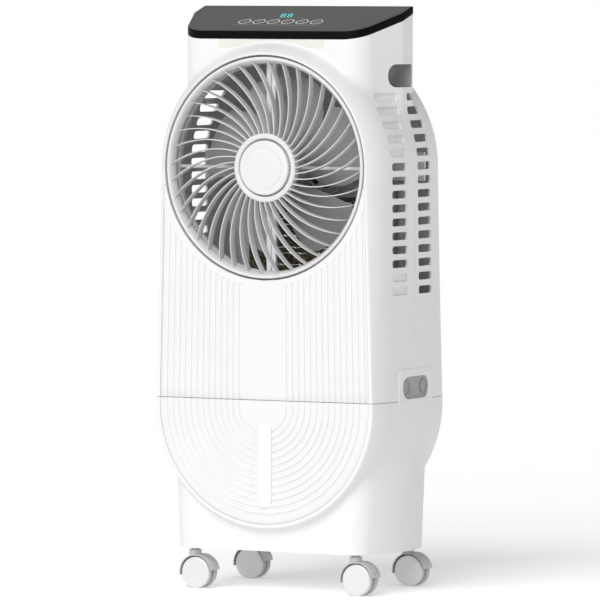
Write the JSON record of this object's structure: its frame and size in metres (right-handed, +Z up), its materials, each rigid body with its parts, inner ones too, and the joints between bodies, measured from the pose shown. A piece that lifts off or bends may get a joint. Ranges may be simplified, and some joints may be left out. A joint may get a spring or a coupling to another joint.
{
  "type": "evaporative cooler",
  "caption": "Tall white portable evaporative air cooler with a round rotating louvre grille, a ribbed tank front with level window, side vents, a black control plate and casters.",
  "frame": {"origin": "on the floor, under the centre of the casing's overall box", "axes": "+Z up; -Y is the front, with the grille; +X is to the right as the front is seen from in front"},
  "size_m": [0.3306, 0.198, 0.74],
  "materials": {
    "white_shell": "satin white moulded ABS",
    "white_panel": "satin white moulded ABS with fine ribs",
    "gauge": "milky translucent acrylic",
    "black_gloss": "high gloss black acrylic",
    "display": "smoked acrylic",
    "diffuser": "frosted light diffuser",
    "circuit_board": "solder mask",
    "grille_white": "glossy white moulded ABS",
    "steel": "zinc plated",
    "inner_grey": "moulded polypropylene",
    "fan_grey": "moulded AS plastic",
    "honeycomb": "corrugated cellulose paper",
    "hose": "silicone tube",
    "pump_black": "moulded plastic",
    "filter_mesh": "nylon mesh in a frame",
    "grip_grey": "fine textured ABS",
    "plug_rubber": "soft rubber",
    "float_white": "moulded plastic",
    "caster_hood": "light grey moulded nylon",
    "caster_wheel": "glossy white moulded nylon"
  },
  "bodies": {
    "casing": {"front_shell": "white_shell", "rear_shell": "white_shell", "front_panel": "white_panel", "base_shell": "white_shell", "tank_front_panel": "white_panel", "gauge_window": "gauge", "control_plate": "black_gloss", "display_window": "display", "touch_pads": "display", "light_bar": "diffuser", "control_board": "circuit_board", "spider_frame": "inner_grey", "grille_motor": "steel", "fan_motor": "inner_grey", "motor_bracket": "inner_grey", "motor_screws": "steel", "cooling_pad": "honeycomb", "pad_frame": "inner_grey", "water_trough": "inner_grey", "riser_hose": "hose", "water_pump": "pump_black", "tank_deck": "inner_grey", "hand_grips": "grip_grey", "side_tabs": "white_shell", "tab_inserts": "grip_grey", "tab_screws": "steel", "cord_gland": "pump_black", "float_sensor": "float_white", "deck_screws": "steel", "caster_sockets": "inner_grey"},
    "grille_rotor": {"louvre_grille": "grille_white", "grille_cap": "grille_white", "grille_shaft": "steel"},
    "fan_rotor": {"fan_blades": "fan_grey", "fan_shaft": "steel", "fan_nut": "steel"},
    "filter_cassette": {"rear_grille": "white_shell", "dust_filter": "filter_mesh"},
    "filler_flap": {"filler_door": "white_shell", "filler_pin": "steel"},
    "drain_stopper": {"drain_plug": "plug_rubber"},
    "swivel_front_left": {"hood_front_left": "caster_hood"},
    "wheel_front_left": {"axle_front_left": "steel", "wheels_front_left": "caster_wheel"},
    "swivel_front_right": {"hood_front_right": "caster_hood"},
    "wheel_front_right": {"axle_front_right": "steel", "wheels_front_right": "caster_wheel"},
    "swivel_back_left": {"hood_back_left": "caster_hood"},
    "wheel_back_left": {"axle_back_left": "steel", "wheels_back_left": "caster_wheel"},
    "swivel_back_right": {"hood_back_right": "caster_hood"},
    "wheel_back_right": {"axle_back_right": "steel", "wheels_back_right": "caster_wheel"}
  },
  "joints": [
    {"name": "grille_spin", "type": "hinge", "parent": "casing", "child": "grille_rotor", "pos_m": [0, -0.092, 0.537], "axis": [0, 1, 0], "continuous": true},
    {"name": "fan_spin", "type": "hinge", "parent": "casing", "child": "fan_rotor", "pos_m": [0, -0.034, 0.537], "axis": [0, 1, 0], "continuous": true},
    {"name": "filter_slide", "type": "slide", "parent": "casing", "child": "filter_cassette", "axis": [0, 1, 0], "range_m": [0, 0.06]},
    {"name": "filler_hinge", "type": "hinge", "parent": "casing", "child": "filler_flap", "pos_m": [-0.045, 0.0962, 0.1955], "axis": [-1, 0, 0], "range_deg": [0, 80]},
    {"name": "drain_pull", "type": "slide", "parent": "casing", "child": "drain_stopper", "axis": [0, 1, 0], "range_m": [0, 0.03]},
    {"name": "caster_swivel_front_left", "type": "hinge", "parent": "casing", "child": "swivel_front_left", "pos_m": [-0.115, -0.0675, 0.045], "axis": [0, 0, 1], "continuous": true},
    {"name": "wheel_spin_front_left", "type": "hinge", "parent": "swivel_front_left", "child": "wheel_front_left", "pos_m": [-0.109, -0.0675, 0.02], "axis": [0, 1, 0], "continuous": true},
    {"name": "caster_swivel_front_right", "type": "hinge", "parent": "casing", "child": "swivel_front_right", "pos_m": [0.115, -0.0675, 0.045], "axis": [0, 0, 1], "continuous": true},
    {"name": "wheel_spin_front_right", "type": "hinge", "parent": "swivel_front_right", "child": "wheel_front_right", "pos_m": [0.121, -0.0675, 0.02], "axis": [0, 1, 0], "continuous": true},
    {"name": "caster_swivel_back_left", "type": "hinge", "parent": "casing", "child": "swivel_back_left", "pos_m": [-0.115, 0.0775, 0.045], "axis": [0, 0, 1], "continuous": true},
    {"name": "wheel_spin_back_left", "type": "hinge", "parent": "swivel_back_left", "child": "wheel_back_left", "pos_m": [-0.109, 0.0775, 0.02], "axis": [0, 1, 0], "continuous": true},
    {"name": "caster_swivel_back_right", "type": "hinge", "parent": "casing", "child": "swivel_back_right", "pos_m": [0.115, 0.0775, 0.045], "axis": [0, 0, 1], "continuous": true},
    {"name": "wheel_spin_back_right", "type": "hinge", "parent": "swivel_back_right", "child": "wheel_back_right", "pos_m": [0.121, 0.0775, 0.02], "axis": [0, 1, 0], "continuous": true}
  ]
}
